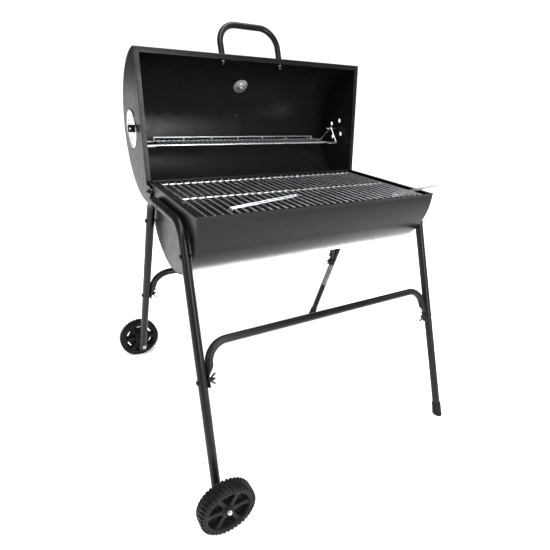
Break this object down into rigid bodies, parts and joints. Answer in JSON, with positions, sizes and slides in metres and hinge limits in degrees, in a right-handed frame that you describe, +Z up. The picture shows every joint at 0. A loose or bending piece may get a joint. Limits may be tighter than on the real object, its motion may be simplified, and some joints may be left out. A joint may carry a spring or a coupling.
{
  "type": "barrel charcoal grill",
  "caption": "Half-barrel charcoal grill with a hinged lid that opens backwards, wire grates, a swinging warming rack and a splayed tube stand on wheels.",
  "frame": {"origin": "on the ground under the middle of the whole grill, wheels and lifting handles included", "axes": "+Z up; +X along the barrel, from the wheeled end to the footed end; +Y to the rear, where the lid opens to"},
  "size_m": [0.951, 0.9176, 1.2129],
  "materials": {
    "black_paint": "semi-gloss black enamel",
    "chrome_wire": "bright plated wire",
    "chrome_plate": "bright plated sheet",
    "zinc_steel": "zinc-plated fasteners",
    "black_plastic": "moulded, satin",
    "foot_rubber": "matt",
    "dial_face": "satin white",
    "needle_paint": "satin red",
    "clear_glass": "clear"
  },
  "bodies": {
    "stand": {"left_front_leg": "black_paint", "left_rear_leg": "black_paint", "right_front_leg": "black_paint", "right_rear_leg": "black_paint", "front_crossbar": "black_paint", "rear_crossbar": "black_paint", "left_front_leg_bolt": "black_paint", "left_front_crossbar_bolt": "black_paint", "left_front_wing_nut": "black_paint", "left_rear_leg_bolt": "black_paint", "left_rear_crossbar_bolt": "black_paint", "left_rear_wing_nut": "black_paint", "right_front_leg_bolt": "black_paint", "right_front_crossbar_bolt": "black_paint", "right_front_wing_nut": "black_paint", "right_rear_leg_bolt": "black_paint", "right_rear_crossbar_bolt": "black_paint", "right_rear_wing_nut": "black_paint", "right_front_foot_cap": "foot_rubber", "right_rear_foot_cap": "foot_rubber", "front_axle_bolt": "zinc_steel", "front_axle_spacer": "zinc_steel", "rear_axle_bolt": "zinc_steel", "rear_axle_spacer": "zinc_steel", "bowl_shell": "black_paint", "bowl_left_end": "black_paint", "bowl_right_end": "black_paint", "left_grate_rail": "black_paint", "right_grate_rail": "black_paint", "charcoal_grate": "chrome_wire", "left_hinge_bolt": "black_paint", "left_hinge_spacer": "zinc_steel", "right_hinge_bolt": "black_paint", "right_hinge_spacer": "zinc_steel"},
    "cooking_grate": {"cooking_grate": "chrome_wire"},
    "left_lifter": {"left_grate_lifter": "chrome_wire"},
    "right_lifter": {"right_grate_lifter": "chrome_wire"},
    "lid": {"lid_shell": "black_paint", "lid_left_end": "black_paint", "lid_right_end": "black_paint", "lid_handle": "black_paint", "left_handle_screw": "zinc_steel", "right_handle_screw": "zinc_steel", "lid_centre_screw": "zinc_steel", "thermometer_housing": "chrome_plate", "thermometer_dial": "dial_face", "thermometer_lens": "clear_glass", "thermometer_back_plate": "chrome_plate", "left_vent_pivot_bolt": "zinc_steel", "right_vent_pivot_bolt": "zinc_steel"},
    "warming_rack": {"warming_rack": "chrome_wire"},
    "thermometer_needle": {"thermometer_needle": "needle_paint"},
    "left_damper": {"left_vent_damper": "chrome_plate", "left_vent_tab": "black_plastic"},
    "right_damper": {"right_vent_damper": "chrome_plate", "right_vent_tab": "black_plastic"},
    "front_wheel": {"front_wheel": "black_plastic"},
    "rear_wheel": {"rear_wheel": "black_plastic"}
  },
  "joints": [
    {"name": "lid_hinge", "type": "hinge", "parent": "stand", "child": "lid", "pos_m": [0.01679, 0.177, 0.7266], "axis": [-1, 0, 0], "range_deg": [-95.7, 0]},
    {"name": "warming_rack_swing", "type": "hinge", "parent": "lid", "child": "warming_rack", "pos_m": [0.01679, 0.3319, 0.88902], "axis": [-1, 0, 0], "range_deg": [0, 95.8]},
    {"name": "left_damper_turn", "type": "hinge", "parent": "lid", "child": "left_damper", "pos_m": [-0.38246, 0.3319, 0.88902], "axis": [1, 0, 0], "range_deg": [0, 45]},
    {"name": "right_damper_turn", "type": "hinge", "parent": "lid", "child": "right_damper", "pos_m": [0.41604, 0.3319, 0.88902], "axis": [1, 0, 0], "range_deg": [0, 45]},
    {"name": "thermometer_needle_turn", "type": "hinge", "parent": "lid", "child": "thermometer_needle", "pos_m": [0.01679, 0.40114, 1.03288], "axis": [0, 0.8059, 0.592], "range_deg": [-240, 0], "stiffness_Nm_per_rad": 0.002},
    {"name": "cooking_grate_lift", "type": "slide", "parent": "stand", "child": "cooking_grate", "axis": [0, 0, 1], "range_m": [0, 0.3]},
    {"name": "left_lifter_swing", "type": "hinge", "parent": "cooking_grate", "child": "left_lifter", "pos_m": [-0.26446, -0.15, 0.745], "axis": [0, 0, 1], "range_deg": [0, 90]},
    {"name": "right_lifter_swing", "type": "hinge", "parent": "cooking_grate", "child": "right_lifter", "pos_m": [0.27554, -0.17, 0.745], "axis": [0, 0, 1], "range_deg": [0, 90.5]},
    {"name": "front_wheel_spin", "type": "hinge", "parent": "stand", "child": "front_wheel", "pos_m": [-0.40055, -0.4335, 0.075], "axis": [0, 1, 0], "continuous": true},
    {"name": "rear_wheel_spin", "type": "hinge", "parent": "stand", "child": "rear_wheel", "pos_m": [-0.40055, 0.4335, 0.075], "axis": [0, 1, 0], "continuous": true}
  ],
  "couplings": [
    {"joint": "warming_rack_swing", "follows": "lid_hinge", "ratio": -1},
    {"joint": "right_lifter_swing", "follows": "lid_hinge", "ratio": -0.94}
  ]
}
